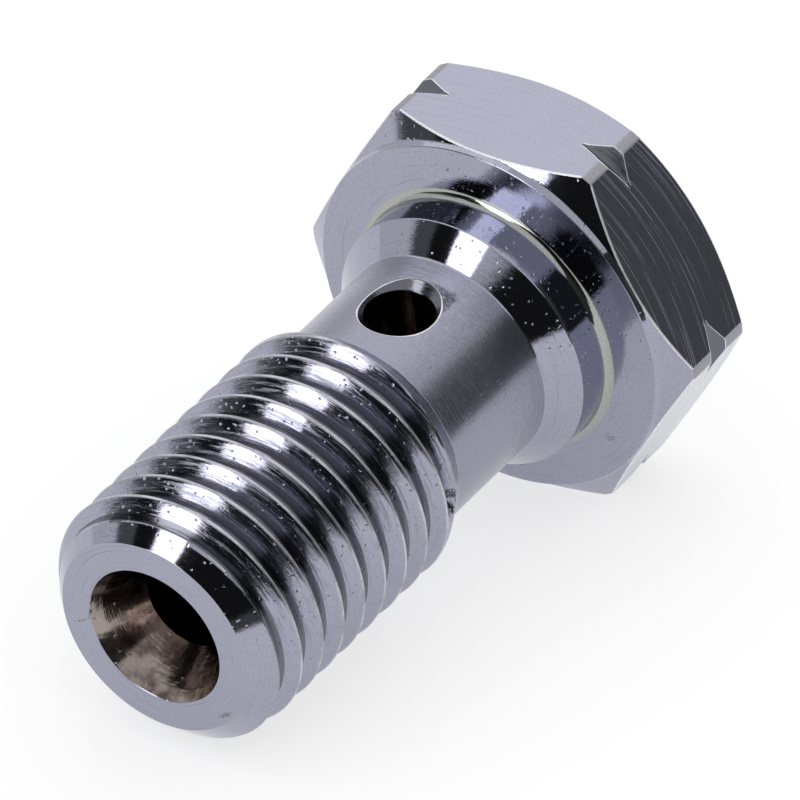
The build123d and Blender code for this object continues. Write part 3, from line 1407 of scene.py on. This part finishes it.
@dataclass(frozen=True)
class Card:
    """A curved, glowing card on a sphere about the bolt, seen only where the plating reflects it.

    Attributes:
        name: Name of the card.
        azimuths: Azimuths of its sides in degrees.
        elevations: Elevations of its lower and upper edges in degrees.
        glow: Strength of its white light.
        distance: Distance from the bolt in metres.
        columns: Points along its edges.
        rows: Points up its sides.
    """

    name: str
    azimuths: tuple[float, float]
    elevations: tuple[float, float]
    glow: float
    distance: float
    columns: int = 25
    rows: int = 9

    def build(self) -> None:
        """Makes the card and its material."""
        a, e = np.meshgrid(np.linspace(*self.azimuths, self.columns),
                           np.linspace(*self.elevations, self.rows))
        points = self.distance * compass(a, e)
        mesh = bpy.data.meshes.new(self.name)
        mesh.from_pydata(points.reshape(-1, 3), [], grid_faces(*a.shape).tolist())
        mesh.update()
        card = linked(self.name, mesh)
        card.visible_camera = card.visible_diffuse = card.visible_shadow = False
        material = bpy.data.materials.new(self.name)
        w = cleared(material)
        shader = w.node("ShaderNodeEmission", {"Color": WHITE, "Strength": self.glow})
        w.node("ShaderNodeOutputMaterial", {"Surface": shader.outputs[0]})
        mesh.materials.append(material)


CARDS = (
    Card("dark_front_card", (-94.5, -40.0), (-2.0, 38.0), glow=0.015, distance=0.12),
    Card("dim_front_card", (-40.0, 12.0), (-2.0, 38.0), glow=0.05, distance=0.12),
    Card("grey_front_card", (12.0, 52.0), (-2.0, 42.0), glow=0.12, distance=0.12),
    Card("low_front_card", (-76.0, -46.0), (-1.0, 7.0), glow=0.1, distance=0.05),
    Card("black_side_card", (-137.0, -120.0), (-0.5, 44.0), glow=0.012, distance=0.45),
    Card("dim_side_card", (-150.0, -137.0), (-0.5, 36.0), glow=0.13, distance=0.45),
    Card("bright_box", (-119.5, -95.0), (4.0, 57.0), glow=3.4, distance=0.4),
    Card("pale_overhead_card", (60.0, 180.0), (30.0, 80.0), glow=1.3, distance=0.4),
)


@dataclass
class Studio:
    """Pale floor, white surround, and the dark and bright cards that the plating reflects."""

    floor_radius: float = 3.0
    floor_points: int = 96
    floor_shade: float = 0.45
    floor_glow: float = 0.66
    surround: float = 0.84

    def floor(self) -> None:
        """Pale disc under the bolt, shown white to the camera and to the plating, with its shadow kept."""
        mesh = bpy.data.meshes.new("floor")
        angle = np.linspace(0.0, TURN, self.floor_points + 1)[:-1]
        rim = self.floor_radius * np.stack([np.cos(angle), np.sin(angle), 0.0 * angle], axis=1)
        mesh.from_pydata(rim, [], [list(range(len(rim)))])
        linked("floor", mesh)
        material = bpy.data.materials.new("pale_floor")
        w = cleared(material)
        path = w.node("ShaderNodeLightPath").outputs
        seen = w.maths("MAXIMUM", w.maths("MAXIMUM", path["Is Camera Ray"], path["Is Glossy Ray"]),
                       path["Is Transmission Ray"])
        lit = w.node("ShaderNodeBsdfDiffuse", {"Color": (*[self.floor_shade] * 3, 1.0)})
        glow = w.node("ShaderNodeEmission", {"Color": WHITE, "Strength": w.times(seen, self.floor_glow)})
        both = w.node("ShaderNodeAddShader", {0: lit.outputs[0], 1: glow.outputs[0]})
        w.node("ShaderNodeOutputMaterial", {"Surface": both.outputs[0]})
        mesh.materials.append(material)

    def sky(self) -> None:
        """Plain white surround."""
        world = bpy.data.worlds.new("white_surround")
        bpy.context.scene.world = world
        w = cleared(world)
        shade = w.node("ShaderNodeBackground", {"Color": WHITE, "Strength": self.surround})
        w.node("ShaderNodeOutputWorld", {"Surface": shade.outputs[0]})

    def build(self) -> None:
        """Sets up the floor, the surround and the cards."""
        self.floor()
        self.sky()
        for card in CARDS:
            card.build()


@dataclass
class Viewpoint:
    """Long-lens camera at the photograph's viewing angle, with its target and distance in millimetres."""

    target: tuple[float, float, float] = (1.228, -0.566, 7.044)
    distance: float = 684.9
    azimuth: float = -55.386
    elevation: float = 33.444
    lens: float = 900.0
    sensor: float = 36.0
    clip: tuple[float, float] = (0.05, 20.0)

    def build(self) -> None:
        """Makes the camera and gives it to the scene."""
        data = bpy.data.cameras.new("camera")
        data.sensor_width, data.lens = self.sensor, self.lens
        data.clip_start, data.clip_end = self.clip
        camera = bpy.data.objects.new("camera", data)
        back = Vector(compass(self.azimuth, self.elevation))
        camera.location = (Vector(self.target) + back * self.distance) * MM
        camera.rotation_euler = (-back).to_track_quat("-Z", "Y").to_euler()
        bpy.context.scene.collection.objects.link(camera)
        bpy.context.scene.camera = camera


def main() -> None:
    """Builds the bolt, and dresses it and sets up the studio."""
    logging.basicConfig(level=logging.INFO, format="%(name)s: %(message)s")
    bpy.context.scene.view_settings.view_transform = "Standard"
    bolt = BoltMesh().build()
    effects = Effects()
    for skin in Skin:
        bolt.data.materials.append(FINISHES[skin].build(effects))
    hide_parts(NODE)
    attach(bolt, "root")
    triangles = sum(len(p.vertices) - 2 for p in bolt.data.polygons)
    log.info("%s: %d points, %d triangles", bolt.name, len(bolt.data.vertices), triangles)
    Studio().build()
    Viewpoint().build()


if __name__ == "__main__":
    main()
